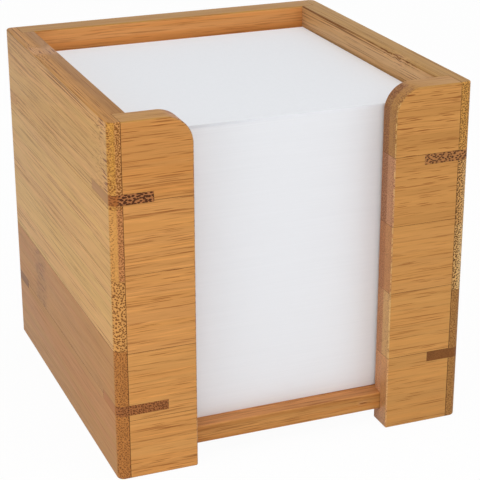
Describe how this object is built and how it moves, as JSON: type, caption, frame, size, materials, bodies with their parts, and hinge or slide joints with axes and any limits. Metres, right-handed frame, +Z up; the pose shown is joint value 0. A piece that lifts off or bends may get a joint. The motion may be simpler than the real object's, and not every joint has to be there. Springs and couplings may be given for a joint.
{
  "type": "memo box",
  "caption": "Square desk box of edge-glued bamboo, open in front between two stiles, with lapped and keyed corners, holding a block of loose square note paper.",
  "frame": {"origin": "middle of the box's footprint, on the surface that it stands on", "axes": "+X to the right seen from the open front, +Y from the open front to the back board, +Z up"},
  "size_m": [0.106, 0.109, 0.104],
  "materials": {
    "left_side_bamboo": "satin oiled bamboo, light tan over browner lower strips",
    "right_side_bamboo": "satin oiled bamboo, light tan",
    "back_bamboo": "satin oiled bamboo, warm tan",
    "left_stile_bamboo": "satin oiled bamboo, orange tan, level grain",
    "right_stile_bamboo": "satin oiled bamboo, orange tan, level grain",
    "bottom_bamboo": "satin oiled bamboo, brown tan",
    "key_bamboo": "dark heat-treated bamboo, end grain showing",
    "note_paper": "matt white uncoated, cut edges",
    "loose_note_paper": "matt white uncoated"
  },
  "bodies": {
    "box": {"back_left_lower_key": "key_bamboo", "back_left_upper_key": "key_bamboo", "back_right_lower_key": "key_bamboo", "back_right_upper_key": "key_bamboo", "back_strip_1": "back_bamboo", "back_strip_2": "back_bamboo", "back_strip_3": "back_bamboo", "back_strip_4": "back_bamboo", "back_strip_5": "back_bamboo", "bottom_strip_1": "bottom_bamboo", "bottom_strip_2": "bottom_bamboo", "bottom_strip_3": "bottom_bamboo", "bottom_strip_4": "bottom_bamboo", "bottom_strip_5": "bottom_bamboo", "front_left_lower_key": "key_bamboo", "front_left_upper_key": "key_bamboo", "front_right_lower_key": "key_bamboo", "front_right_upper_key": "key_bamboo", "left_side_strip_1": "left_side_bamboo", "left_side_strip_2": "left_side_bamboo", "left_side_strip_3": "left_side_bamboo", "left_side_strip_4": "left_side_bamboo", "left_side_strip_5": "left_side_bamboo", "left_stile_strip_1": "left_stile_bamboo", "left_stile_strip_2": "left_stile_bamboo", "left_stile_strip_3": "left_stile_bamboo", "left_stile_strip_4": "left_stile_bamboo", "left_stile_strip_5": "left_stile_bamboo", "right_side_strip_1": "right_side_bamboo", "right_side_strip_2": "right_side_bamboo", "right_side_strip_3": "right_side_bamboo", "right_side_strip_4": "right_side_bamboo", "right_side_strip_5": "right_side_bamboo", "right_stile_strip_1": "right_stile_bamboo", "right_stile_strip_2": "right_stile_bamboo", "right_stile_strip_3": "right_stile_bamboo", "right_stile_strip_4": "right_stile_bamboo", "right_stile_strip_5": "right_stile_bamboo"},
    "notes": {"note_block": "note_paper"},
    "top_sheets": {"loose_sheets": "loose_note_paper"}
  },
  "joints": [
    {"name": "notes_lift_out", "type": "slide", "parent": "box", "child": "notes", "axis": [0, 0, 1], "range_m": [0, 0.1]},
    {"name": "top_sheets_lift_off", "type": "slide", "parent": "notes", "child": "top_sheets", "axis": [0, 0, 1], "range_m": [0, 0.02]}
  ]
}
